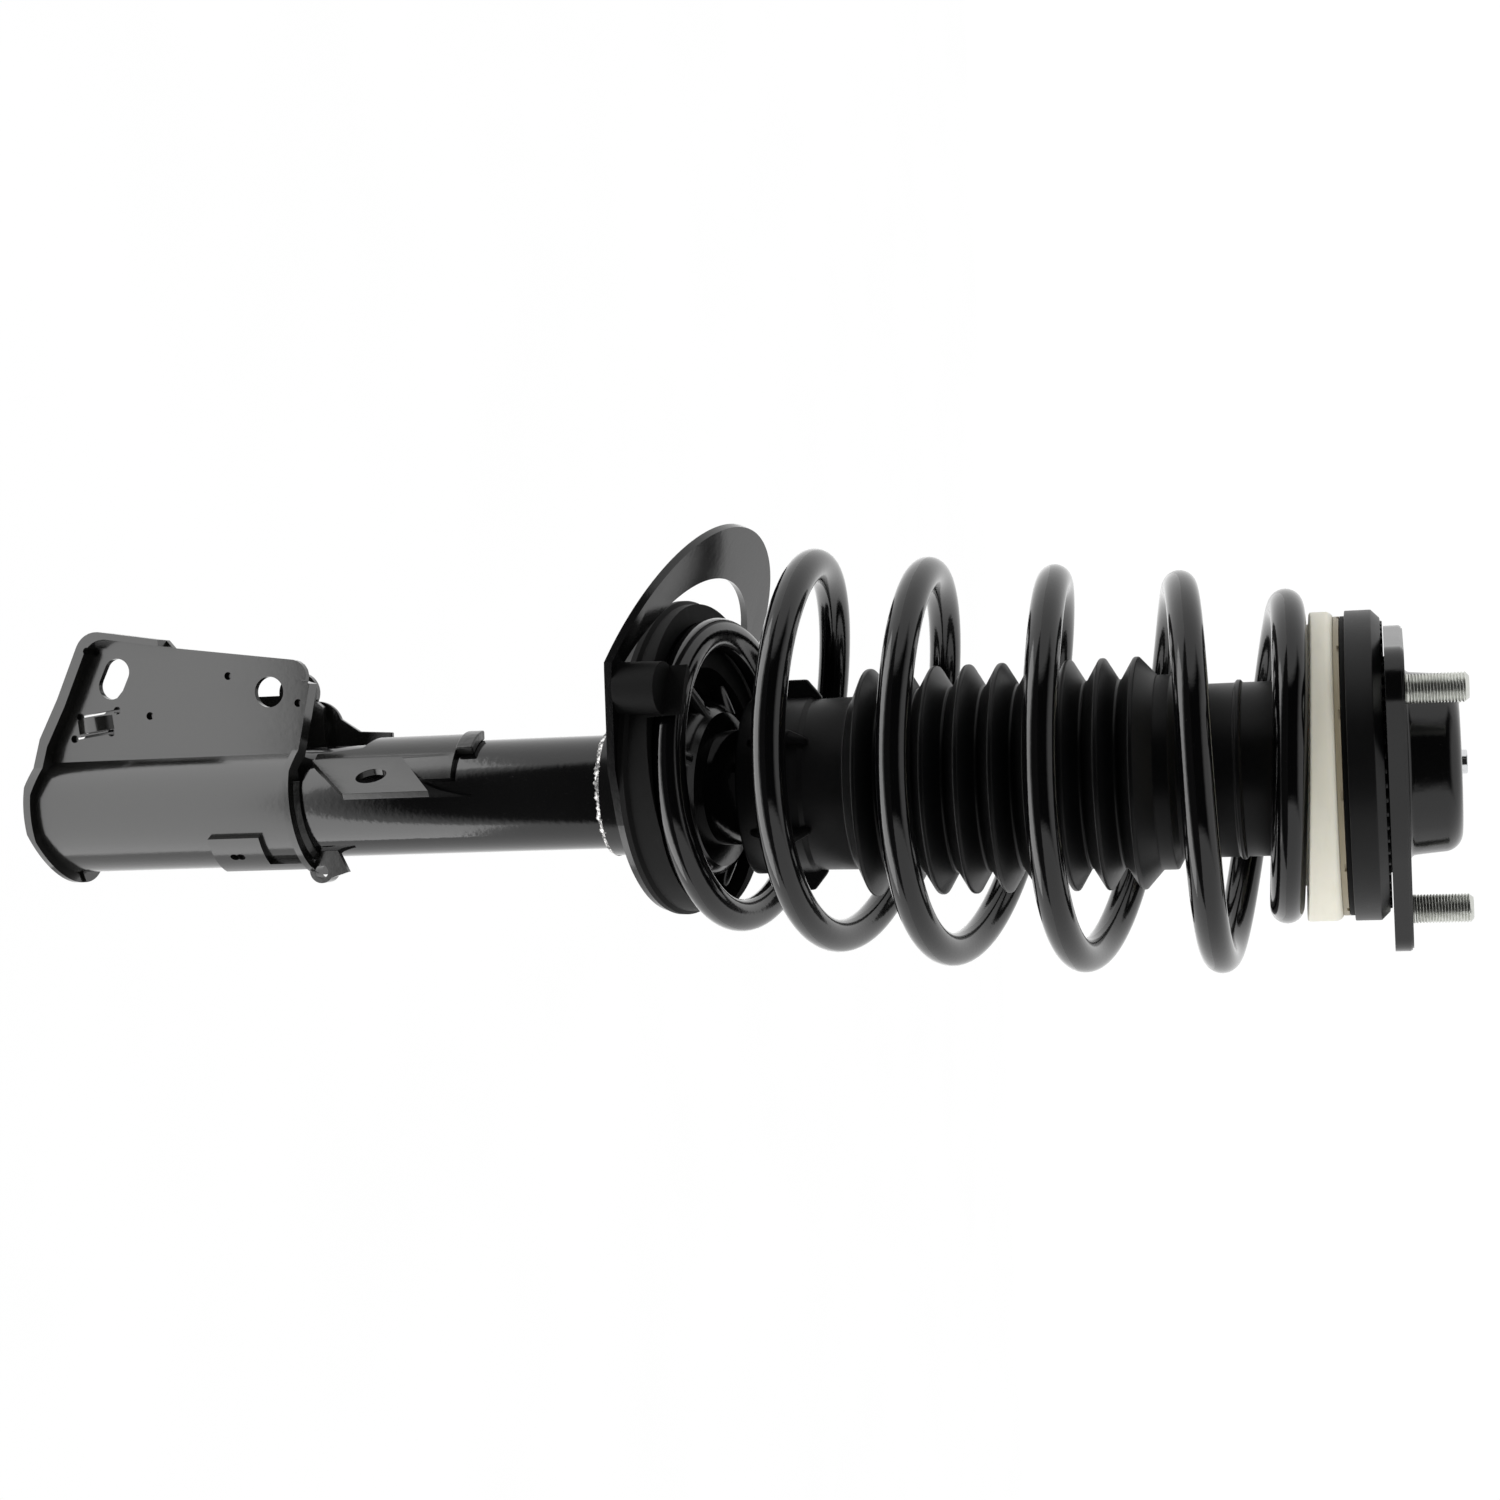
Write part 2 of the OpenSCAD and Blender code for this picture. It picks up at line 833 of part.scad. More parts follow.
// A wrap section cut to a side outline on one half, y0 to y1
module side_cut(y0, y1) {
    intersection() {
        translate([0, 0, -625])
            linear_extrude(150)
                children(0);
        upright(y0, y1)
            children(1);
    }
}

// Turned-out lips follow the outline's lower, outboard and upper edges
module lip_band(rise, x_shift) {
    difference() {
        polygon(near_side());
        translate([x_shift, rise])
            polygon(near_side());
    }
}

module bolt_slot(y0, y1) {
    r = slot_w / 2;
    dx = -slot_half * cos(slot_lean);
    dz = slot_half * sin(slot_lean);
    for (s = [-1, 1])
        cross_bar(slot_x + s * dx, slot_z + s * dz, r, y0, y1);
    translate([slot_x, 0, slot_z])
        rotate([0, slot_lean, 0])
            translate([-slot_half, y0, -r])
                cube([2 * slot_half, y1 - y0, slot_w]);
}

// Lanced clip: centre, size along the ear's length and across it, turn and skew
clip_x = -39.7;
clip_z = -588.9;
clip_l = 19;
clip_h = 9.6;
clip_turn = -7;
clip_skew = 4.6;

module clip_frame() {
    translate([clip_x, 0, clip_z])
        rotate([0, clip_turn, 0])
            children();
}

module knuckle_bracket() {
    strap_r = 11;
    strap_t = 2.4;
    strap_y = -ear_y + strap_r - 4.6;
    strap_w = clip_h - 3;
    slit_w = 1.1;
    pip_r = 1.8;
    pip_y = -ear_in_y - 0.9;
    color([0.2, 0.2, 0.19])
        difference() {
            union() {
                side_cut(-60, 0) {
                    wrap_section(wrap_r, ear_y);
                    polygon(near_side());
                }
                side_cut(-eps, 60) {
                    wrap_section(wrap_r, ear_y);
                    far_outline();
                }
                // lip at the foot of the wrap and along the near ear
                intersection() {
                    side_cut(-60, 60) {
                        wrap_section(flare_r, lip_reach);
                        lip_band(bracket_t, bracket_t);
                    }
                    translate([-100, -50, -625])
                        cube([140, 50, 73.5]);
                }
                intersection() {
                    side_cut(-60, 60) {
                        wrap_section(flare_r, lip_reach);
                        lip_band(bracket_t, 0);
                    }
                    translate([-24, -eps, -625])
                        cube([64, 50, 40]);
                }
                // thin lip at the head of the wrap
                intersection() {
                    side_cut(-60, 60) {
                        wrap_section(flare_r - 0.5, 23);
                        lip_band(-3, 0);
                    }
                    translate([-56, -50, -500])
                        cube([96, 100, 40]);
                    union() {
                        translate([-60, -50, -500])
                            cube([100, 50, 40]);
                        translate([-21, -eps, -500])
                            cube([61, 50, 40]);
                    }
                }
                // bulged strap of the lanced clip
                intersection() {
                    clip_frame()
                        translate([-strap_w / 2, strap_y, 0])
                            rotate([0, 90, 0])
                                difference() {
                                    cylinder(r = strap_r, h = strap_w);
                                    translate([0, 0, -1])
                                        cylinder(r = strap_r - strap_t, h = strap_w + 2);
                                }
                    clip_frame()
                        translate([-10, -30, -clip_l / 2])
                            cube([20, 30 - ear_in_y - 0.2, clip_l]);
                }
            }
            cross_bar(bolt_x, bolt_z, bolt_hole_d / 2, -30, 30);
            bolt_slot(-40, 40);
            // blind tooling marks in the near ear
            for (h = [[-73.5, -587.4], [-59.4, -521.5], [-42.7, -561.3], [-45.6, -487.5]])
                cross_bar(h[0], h[1], pip_r, -30, pip_y);
            clip_frame()
                for (s = [-1, 1]) {
                    // slit beside the strap, with a round mark at each end
                    translate([s * clip_h / 2 - slit_w / 2, -24, -s * clip_skew / 2 - clip_l / 2])
                        cube([slit_w, 24, clip_l]);
                    for (e = [-1, 1])
                        cross_bar(s * clip_h / 2, e * clip_l / 2 - s * clip_skew / 2, pip_r, -24, pip_y);
                }
            // room under the strap
            clip_frame()
                translate([-strap_w / 2 - eps, strap_y, 0])
                    rotate([0, 90, 0])
                        cylinder(r = strap_r - strap_t, h = strap_w + 2 * eps);
        }
}

// Bead along the wrap's leaning top edge
module bracket_weld() {
    edge_fall = 4 / 55;
    color([0.3, 0.3, 0.3])
        difference() {
            translate([0, 0, bracket_top_z - 40 * edge_fall])
                rotate([0, -atan(edge_fall), 0])
                    intersection() {
                        translate([0, 0, 0.02])
                            cylinder(r1 = tube_r + 3, r2 = tube_r + 1, h = 2.4);
                        translate([-10, -40, -1])
                            cube([60, 80, 10]);
                    }
            translate([0, 0, -500])
                cylinder(r = tube_r + 0.02, h = 40);
        }
}

// Pressed saddle tab on the wrap, with a slotted hole for a line clip
module hose_tab() {
    base = wrap_r + 0.05;
    tab_t = 2.6;
    near_deg = -62;
    tail_deg = -30;
    far_deg = -16;
    tail_z = -505;
    reach = 60;
    color([0.2, 0.2, 0.19])
        difference() {
            intersection() {
                tube(base + tab_t, base, -530, -489);
                union() {
                    translate([0, 0, -540])
                        linear_extrude(540 + tail_z)
                            polygon([[0, 0], reach * [cos(near_deg), sin(near_deg)],
                                reach * [cos(far_deg), sin(far_deg)]]);
                    translate([0, 0, -540])
                        linear_extrude(60)
                            polygon([[0, 0], reach * [cos(tail_deg), sin(tail_deg)],
                                reach * [cos(far_deg), sin(far_deg)]]);
                }
            }
            rotate(-42)
                for (s = [-1, 1])
                    translate([25, 0, -518.5 + 1.6 * s])
                        rotate([0, 90, 0])
                            cylinder(r = 2, h = 12);
        }
}

// Small clip with a hole at the head of the wrap
module wire_clip() {
    eye_x = tube_r + 5.6;
    eye_z = -481.5;
    eye_r = 5.8;
    y0 = -12.5;
    y1 = -4.5;
    color([0.2, 0.2, 0.19])
        difference() {
            union() {
                cross_bar(eye_x, eye_z, eye_r, y0, y1);
                // pointed tail up the tube
                upright(y0, y0 + 3)
                    polygon([[tube_r - 6, eye_z - 2], [eye_x + 4, eye_z + 3],
                        [eye_x + 1, eye_z + 13], [tube_r - 6, eye_z + 7]]);
                upright(y0, y1)
                    polygon([[tube_r - 6, eye_z - 2], [eye_x, eye_z - 3], [eye_x, eye_z + 5],
                        [tube_r - 6, eye_z + 5]]);
            }
            cross_bar(eye_x + 0.6, eye_z, 3.1, y0 - 1, y1 + 1);
            // room for the wrap, its lip and its bead
            translate([0, 0, -495])
                cylinder(r = wrap_r + 0.1, h = 13.1);
            translate([0, 0, -495])
                cylinder(r = flare_r - 0.2, h = 10.5);
            translate([0, 0, -495])
                cylinder(r = tube_r + 0.02, h = 60);
        }
}

// ---- stabiliser link bracket ----

link_tilt = 26;
link_hole_x = -8.6;
link_hole_y = -36;
link_hole_z = -445.5;
link_t = 3;
link_hole_r = 6.9;

// The link plate's own frame: origin in the hole, x up the strut, y towards the tube
module link_frame() {
    translate([link_hole_x, link_hole_y, link_hole_z])
        rotate([0, 0, link_tilt])
            rotate([0, -90, 0])
                children();
}

module link_bracket() {
    saddle_t = 3;
    color(black_paint)
        difference() {
            union() {
                link_frame()
                    linear_extrude(link_t)
                        polygon([[-35, 18], [-33, 22], [5.5, 22], [32.5, -16.7], [-7.5, -16.7]]);
                // saddle on the tube
                intersection() {
                    tube(tube_r + saddle_t, tube_r + 0.02, -482, -412);
                    linear_extrude(height = 2000, center = true)
                        polygon([[-5, 0], [-60, 4], [-60, -60], [-9, -60], [-9, -5]]);
                    upright(-60, 60)
                        polygon([[-40, -446], [-40, -412], [-5, -412], [-5, -430], [-18, -456],
                            [-18, -479], [-22, -479], [-24, -458]]);
                }
            }
            link_frame()
                translate([0, 0, -5])
                    cylinder(r = link_hole_r, h = 20);
            cylinder(r = tube_r + 0.02, h = 2000, center = true);
        }
}

module link_weld() {
    color([0.3, 0.3, 0.3])
        intersection() {
            tube(tube_r + 4.4, tube_r + 0.02, -412, -404);
            linear_extrude(height = 2000, center = true)
                polygon([[-5, -2], [-60, -2], [-60, -50], [-5, -6]]);
        }
}

module hose_eye() {
    y0 = 20.5;
    y1 = 23.5;
    eye_x = -34.5;
    eye_z = -495.3;
    color([0.2, 0.2, 0.19])
        difference() {
            union() {
                cross_bar(eye_x, eye_z, 12.5, y0, y1);
                upright(y0, y1)
                    polygon([[-42, -489], [-36, -480], [-32, -474], [-31, -458], [-12, -458],
                        [-12, -480], [-26, -490]]);
            }
            cross_bar(eye_x, eye_z, 4.6, y0 - 1, y1 + 1);
            cylinder(r = tube_r + 0.02, h = 2000, center = true);
        }
}

module eye_weld() {
    color([0.3, 0.3, 0.3])
        intersection() {
            tube(tube_r + 2.2, tube_r + 0.02, -479, -459);
            translate([-20, 14, -480])
                cube([14, 6.3, 22]);
        }
}

mount_plate();
mount_studs();
mount_rubber();
inner_sleeve();
lower_cup();
bearing_cover();
bearing_seal();
upper_race();
rod_washer();
rod_nut();
piston_rod();
bump_stop();
rebound_stop();
rebound_pad();
piston();
piston_band();
valve_shims();
piston_nut();
bearing_cage();
bearing_balls();
lower_race();
bearing_base();
upper_spring_seat();
dust_boot();
coil_spring();
damper_tube();
base_cap();
striker_cap();
oil_seal();
rod_guide();
guide_bush();
inner_cylinder();
base_valve();
lower_spring_seat();
seat_weld();
lower_isolator();
knuckle_bracket();
bracket_weld();
hose_tab();
wire_clip();
link_bracket();
link_weld();
hose_eye();
eye_weld();
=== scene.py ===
import json
import math

import bmesh
import bpy
from mathutils import Matrix, Vector, noise


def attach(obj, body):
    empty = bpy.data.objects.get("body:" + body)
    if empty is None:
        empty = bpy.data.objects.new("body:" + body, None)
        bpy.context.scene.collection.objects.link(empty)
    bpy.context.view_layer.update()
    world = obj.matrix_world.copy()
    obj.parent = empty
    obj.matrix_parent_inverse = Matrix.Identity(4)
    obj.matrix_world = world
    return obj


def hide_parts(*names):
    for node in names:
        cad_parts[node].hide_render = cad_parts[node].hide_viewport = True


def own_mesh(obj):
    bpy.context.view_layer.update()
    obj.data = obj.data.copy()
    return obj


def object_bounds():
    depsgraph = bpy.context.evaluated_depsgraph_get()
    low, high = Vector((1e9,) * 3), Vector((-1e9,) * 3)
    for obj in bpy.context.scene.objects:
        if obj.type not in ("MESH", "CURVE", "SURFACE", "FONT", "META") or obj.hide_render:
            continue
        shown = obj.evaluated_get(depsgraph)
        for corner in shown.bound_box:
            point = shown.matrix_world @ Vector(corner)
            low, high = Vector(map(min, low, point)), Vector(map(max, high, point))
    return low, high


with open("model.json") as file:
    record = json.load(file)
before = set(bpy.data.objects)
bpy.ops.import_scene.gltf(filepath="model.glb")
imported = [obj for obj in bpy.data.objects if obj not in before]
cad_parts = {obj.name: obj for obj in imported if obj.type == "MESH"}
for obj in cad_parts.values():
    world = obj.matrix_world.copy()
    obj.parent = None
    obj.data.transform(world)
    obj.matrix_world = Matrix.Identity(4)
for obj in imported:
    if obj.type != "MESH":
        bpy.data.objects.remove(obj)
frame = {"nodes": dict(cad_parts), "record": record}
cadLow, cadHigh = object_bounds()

scene = bpy.context.scene
mm = 0.001
bodyOf = {}
for body, members in frame["record"]["behaviour"]["bodies"].items():
    bodyOf.update({node: body for node in members})
slotOf = {part["node"]: part["material_slot"] for part in frame["record"]["subparts"]}
print("frame loaded,", len(frame["nodes"]), "nodes")


# One class wraps a node socket, so that maths in a node tree is written as an expression

class Wire:
    def __init__(self, tree, socket=None):
        self.tree = tree
        self.socket = socket

    def node(self, kind, settings=None, sockets=None, out=0):
        made = self.tree.nodes.new(kind)
        for name, value in (settings or {}).items():
            setattr(made, name, value)
        for name, value in (sockets or {}).items():
            target = made.inputs[name]
            if isinstance(value, Wire):
                self.tree.links.new(value.socket, target)
            else:
                target.default_value = value
        return Wire(self.tree, made.outputs[out] if len(made.outputs) else None)

    def maths(self, operation, *values):
        return self.node("ShaderNodeMath", {"operation": operation}, dict(enumerate(values)))

    def __add__(self, other):
        return self.maths("ADD", self, other)

    __radd__ = __add__

    def __sub__(self, other):
        return self.maths("SUBTRACT", self, other)

    def __rsub__(self, other):
        return self.maths("SUBTRACT", other, self)

    def __mul__(self, other):
        return self.maths("MULTIPLY", self, other)

    __rmul__ = __mul__

    def __truediv__(self, other):
        return self.maths("DIVIDE", self, other)

    def clip(self, low, high):
        # 0 below low, 1 above high, and straight between them
        sockets = {0: self, 1: low, 2: high, 3: 0.0, 4: 1.0}
        return self.node("ShaderNodeMapRange", {"clamp": True}, sockets)


def mixColour(wire, factor, a, b):
    # Mix in colour mode: sockets 6 and 7 are its colours, output 2 its result
    return wire.node("ShaderNodeMix", {"data_type": "RGBA"}, {0: factor, 6: a, 7: b}, out=2)


def rgba(colour):
    return (colour[0], colour[1], colour[2], 1.0)


def noiseAt(wire, place, scale, detail=3.0, rough=0.5, stretch=None):
    if stretch:
        place = wire.node("ShaderNodeMapping", {}, {"Vector": place, "Scale": stretch})
    return wire.node("ShaderNodeTexNoise", {}, {
        "Vector": place, "Scale": scale, "Detail": detail, "Roughness": rough})


def bumpFrom(wire, height, depth, under=None):
    sockets = {"Height": height, "Distance": depth, "Strength": 1.0}
    if under:
        sockets["Normal"] = under
    return wire.node("ShaderNodeBump", {}, sockets)


def startMaterial(name):
    material = bpy.data.materials.new(name)
    material.use_nodes = True
    tree = material.node_tree
    tree.nodes.clear()
    wire = Wire(tree)
    place = wire.node("ShaderNodeTexCoord", out=3)
    return material, wire, place


def endMaterial(material, wire, sockets):
    shader = wire.node("ShaderNodeBsdfPrincipled", {}, sockets)
    wire.node("ShaderNodeOutputMaterial", {}, {"Surface": shader})
    return material


# Finishes

def paintFinish(name, colour, roughness, dust=0.5, lump=0.0):
    # dipped and baked black paint: a faint orange peel, soft cloudy patches and a few specks of dust
    material, wire, place = startMaterial(name)
    cloud = noiseAt(wire, place, 22, 4)
    fine = noiseAt(wire, place, 420, 2)
    speck = noiseAt(wire, place, 1900, 1).clip(0.74, 0.80)
    streak = noiseAt(wire, place, 60, 3, 0.6, (1.0, 1.0, 0.12)).clip(0.45, 0.75)
    pale = [c * 1.9 + 0.004 for c in colour]
    base = mixColour(wire, cloud.clip(0.35, 0.75) * 0.35 * dust, rgba(colour), rgba(pale))
    base = mixColour(wire, speck * 0.30 * dust, base, rgba((0.08, 0.078, 0.075)))
    shine = roughness + (cloud - 0.5) * 0.10 + streak * 0.05 * dust + speck * 0.2
    normal = bumpFrom(wire, fine, 0.00003)
    if lump:
        normal = bumpFrom(wire, noiseAt(wire, place, 160, 3), lump, normal)
    return endMaterial(material, wire, {
        "Base Color": base, "Roughness": shine, "Normal": normal, "IOR": 1.5})


def rubberFinish(name, colour, roughness, grain=900, depth=0.00004, bloom=0.3, shine=0.42):
    # moulded rubber: fine grain, greyish bloom in patches
    material, wire, place = startMaterial(name)
    cloud = noiseAt(wire, place, 35, 4, 0.6)
    fine = noiseAt(wire, place, grain, 3)
    scuff = noiseAt(wire, place, 140, 4, 0.7, (1.0, 1.0, 3.0)).clip(0.60, 0.78)
    pale = [c * 2.2 + 0.005 for c in colour]
    base = mixColour(wire, cloud.clip(0.4, 0.8) * bloom, rgba(colour), rgba(pale))
    base = mixColour(wire, scuff * 0.4 * bloom, base, rgba([c * 3 + 0.012 for c in colour]))
    return endMaterial(material, wire, {
        "Base Color": base, "Roughness": roughness + (cloud - 0.5) * 0.16 - scuff * 0.08,
        "Normal": bumpFrom(wire, fine, depth), "IOR": 1.5, "Specular IOR Level": shine})


def plasticFinish(name, colour, shade, roughness, see=0.0):
    # moulded nylon: slight yellowing in patches, flow lines and soft scratches
    material, wire, place = startMaterial(name)
    cloud = noiseAt(wire, place, 18, 3, 0.55)
    flow = noiseAt(wire, place, 90, 4, 0.6, (1.0, 1.0, 4.0))
    scratch = noiseAt(wire, place, 260, 5, 0.7, (0.3, 0.3, 5.0)).clip(0.66, 0.74)
    base = mixColour(wire, cloud.clip(0.3, 0.75), rgba(colour), rgba(shade))
    base = mixColour(wire, flow.clip(0.5, 0.8) * 0.25, base, rgba([c * 0.86 for c in shade]))
    return endMaterial(material, wire, {
        "Base Color": base, "Roughness": roughness + (flow - 0.5) * 0.15 + scratch * 0.2,
        "Normal": bumpFrom(wire, flow, 0.00006), "IOR": 1.53,
        "Subsurface Weight": see, "Subsurface Radius": (1.0, 0.85, 0.6), "Subsurface Scale": 0.002})


def metalFinish(name, colour, roughness, brushed=(1.0, 1.0, 1.0), stain=0.3, depth=0.00002):
    # bare or plated metal: fine tool marks and darker stains
    material, wire, place = startMaterial(name)
    cloud = noiseAt(wire, place, 60, 4, 0.6)
    line = noiseAt(wire, place, 500, 4, 0.6, brushed)
    dark = [c * 0.45 for c in colour]
    base = mixColour(wire, cloud.clip(0.5, 0.8) * stain, rgba(colour), rgba(dark))
    base = mixColour(wire, line.clip(0.45, 0.7) * 0.25, base, rgba([c * 0.8 for c in colour]))
    return endMaterial(material, wire, {
        "Base Color": base, "Metallic": 1.0,
        "Roughness": roughness + (line - 0.5) * 0.2 + cloud * 0.08,
        "Normal": bumpFrom(wire, line, depth)})


def weldFinish(name, colour, dark, roughness):
    # ragged bead: bright crests, dark slag in the valleys
    material, wire, place = startMaterial(name)
    crust = noiseAt(wire, place, 420, 5, 0.7)
    patch = noiseAt(wire, place, 130, 3)
    base = mixColour(wire, crust.clip(0.42, 0.6), rgba(dark), rgba(colour))
    base = mixColour(wire, patch.clip(0.55, 0.7) * 0.6, base, rgba(dark))
    return endMaterial(material, wire, {
        "Base Color": base, "Metallic": crust.clip(0.4, 0.6),
        "Roughness": roughness + (patch - 0.5) * 0.3, "Normal": bumpFrom(wire, crust, 0.0003)})


finish = {
    "mount_paint": paintFinish("mountPaint", (0.0014, 0.0014, 0.0015), 0.16),
    "spring_paint": paintFinish("springPaint", (0.0012, 0.0012, 0.0014), 0.10, dust=0.3),
    "tube_paint": paintFinish("tubePaint", (0.0012, 0.0012, 0.0013), 0.09),
    "seat_paint": paintFinish("seatPaint", (0.0018, 0.0018, 0.0019), 0.15),
    "bracket_paint": paintFinish("bracketPaint", (0.0055, 0.0055, 0.0052), 0.17),
    "link_paint": paintFinish("linkPaint", (0.006, 0.006, 0.0056), 0.18),
    "painted_weld": paintFinish("paintedWeld", (0.006, 0.006, 0.0058), 0.26, dust=1.0, lump=0.0005),
    "weld": weldFinish("weldBead", (0.60, 0.59, 0.58), (0.03, 0.03, 0.03), 0.40),
    "zinc": metalFinish("zincPlate", (0.66, 0.67, 0.63), 0.30, (1.0, 1.0, 1.0), 0.3),
    "bare_steel": metalFinish("bareSteel", (0.52, 0.51, 0.50), 0.34, (1.0, 1.0, 4.0), 0.5),
    "chromed_rod": metalFinish("chromedRod", (0.72, 0.73, 0.74), 0.08, (1.0, 1.0, 6.0), 0.1),
    "sintered": metalFinish(
        "sinteredIron", (0.30, 0.29, 0.28), 0.55, (1.0, 1.0, 1.0), 0.6, 0.00006),
    "bronze": metalFinish("bronzeBush", (0.60, 0.42, 0.22), 0.35, (1.0, 1.0, 3.0), 0.4),
    "rubber": rubberFinish("blackRubber", (0.0020, 0.0020, 0.0020), 0.62, shine=0.12),
    "moulded_black": rubberFinish(
        "mouldedBlack", (0.0030, 0.0030, 0.0032), 0.42, 700, 0.00003, 0.2, 0.3),
    "boot": rubberFinish("bootRubber", (0.0014, 0.0014, 0.0016), 0.40, 1100, 0.00003, 0.2, 0.2),
    "nylon": plasticFinish("creamNylon", (0.93, 0.90, 0.78), (0.87, 0.83, 0.68), 0.44, 0.2),
    "nylon_base": plasticFinish("tanNylon", (0.36, 0.31, 0.21), (0.27, 0.23, 0.15), 0.42, 0.1),
    "urethane": rubberFinish("bumpUrethane", (0.35, 0.27, 0.10), 0.65, 500, 0.0001, 0.2),
    "band": plasticFinish("pistonBand", (0.05, 0.055, 0.06), (0.04, 0.045, 0.05), 0.35),
}
print("finishes made:", len(finish))


# Making pieces

def linkMesh(name, verts, faces):
    mesh = bpy.data.meshes.new(name)
    mesh.from_pydata([tuple(c * mm for c in v) for v in verts], [], faces)
    mesh.update()
    piece = bpy.data.objects.new(name, mesh)
    scene.collection.objects.link(piece)
    return piece


def shade(piece, sharpDegrees):
    mesh = piece.data
    mesh.polygons.foreach_set("use_smooth", [True] * len(mesh.polygons))
    mesh.set_sharp_from_angle(angle=math.radians(sharpDegrees))
    mesh.update()
    return piece


def faceOutwards(piece):
    work = bmesh.new()
    work.from_mesh(piece.data)
    bmesh.ops.remove_doubles(work, verts=work.verts, dist=0.000002)
    bmesh.ops.recalc_face_normals(work, faces=work.faces)
    work.to_mesh(piece.data)
    work.free()
    return piece


def settle(piece):
    # the evaluated mesh takes the place of the modifiers
    graph = bpy.context.evaluated_depsgraph_get()
    mesh = bpy.data.meshes.new_from_object(piece.evaluated_get(graph))
    piece.modifiers.clear()
    piece.data = mesh
    mesh.name = piece.name
    return piece


def dressAs(piece, node):
    # the piece takes the node's finish, slot and body, and stands in its place
    piece.data.materials.clear()
    piece.data.materials.append(finish[slotOf[node]])
    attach(piece, bodyOf[node])
    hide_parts(node)
    return piece


nearlyStraight = math.radians(172)
nearlyFolded = math.radians(1)
sideShare = 0.45


def rounded(points, radius, steps):
    # the closed outline with each corner turned into an arc, smaller than asked where a side is short
    out = []
    count = len(points)
    for i, corner in enumerate(points):
        p, a, b = Vector(corner), Vector(points[i - 1]), Vector(points[(i + 1) % count])
        into, away = (a - p), (b - p)
        bend = into.angle(away)
        if bend > nearlyStraight or bend < nearlyFolded:
            out.append(tuple(p))
            continue
        reach = min(radius / math.tan(bend / 2), sideShare * into.length, sideShare * away.length)
        start, end = p + into.normalized() * reach, p + away.normalized() * reach
        for k in range(steps + 1):
            t = k / steps
            out.append(tuple((1 - t) ** 2 * start + 2 * t * (1 - t) * p + t * t * end))
    return out


def lathe(name, outline, steps):
    # turns a closed outline of (radius, height) about the strut's axis
    count = len(outline)
    verts = []
    for i in range(steps):
        a = 2 * math.pi * i / steps
        for r, z in outline:
            verts.append((r * math.cos(a), r * math.sin(a), z))
    faces = []
    for i in range(steps):
        j = (i + 1) % steps
        for k in range(count):
            m = (k + 1) % count
            faces.append((i * count + k, j * count + k, j * count + m, i * count + m))
    return faceOutwards(linkMesh(name, verts, faces))


edging = {
    "weld": 0.02 * mm,
    "flatWithin": math.radians(0.6),
    "edgeAngle": math.radians(32),
    "segments": 3,
    "sharpDegrees": 38.0,
    "flatWeight": 80,
}


def edgedCopy(node, width):
    # a copy of the node's mesh with its edges rounded over
    s = edging
    source = frame["nodes"][node].data
    work = bmesh.new()
    work.from_mesh(source)
    bmesh.ops.remove_doubles(work, verts=work.verts, dist=s["weld"])
    bmesh.ops.dissolve_limit(work, angle_limit=s["flatWithin"], verts=work.verts, edges=work.edges)
    bmesh.ops.recalc_face_normals(work, faces=work.faces)
    mesh = bpy.data.meshes.new(node + "_edged")
    work.to_mesh(mesh)
    work.free()
    piece = bpy.data.objects.new(mesh.name, mesh)
    scene.collection.objects.link(piece)
    bevel = piece.modifiers.new("edges", "BEVEL")
    bevel.width = width * mm
    bevel.segments = s["segments"]
    bevel.limit_method = "ANGLE"
    bevel.angle_limit = s["edgeAngle"]
    bevel.use_clamp_overlap = True
    bevel.miter_outer = "MITER_ARC"
    settle(piece)
    shade(piece, s["sharpDegrees"])
    # large flat faces keep their own normal beside the rounded edges
    even = piece.modifiers.new("evenNormals", "WEIGHTED_NORMAL")
    even.keep_sharp = True
    even.weight = s["flatWeight"]
    settle(piece)
    return dressAs(piece, node)


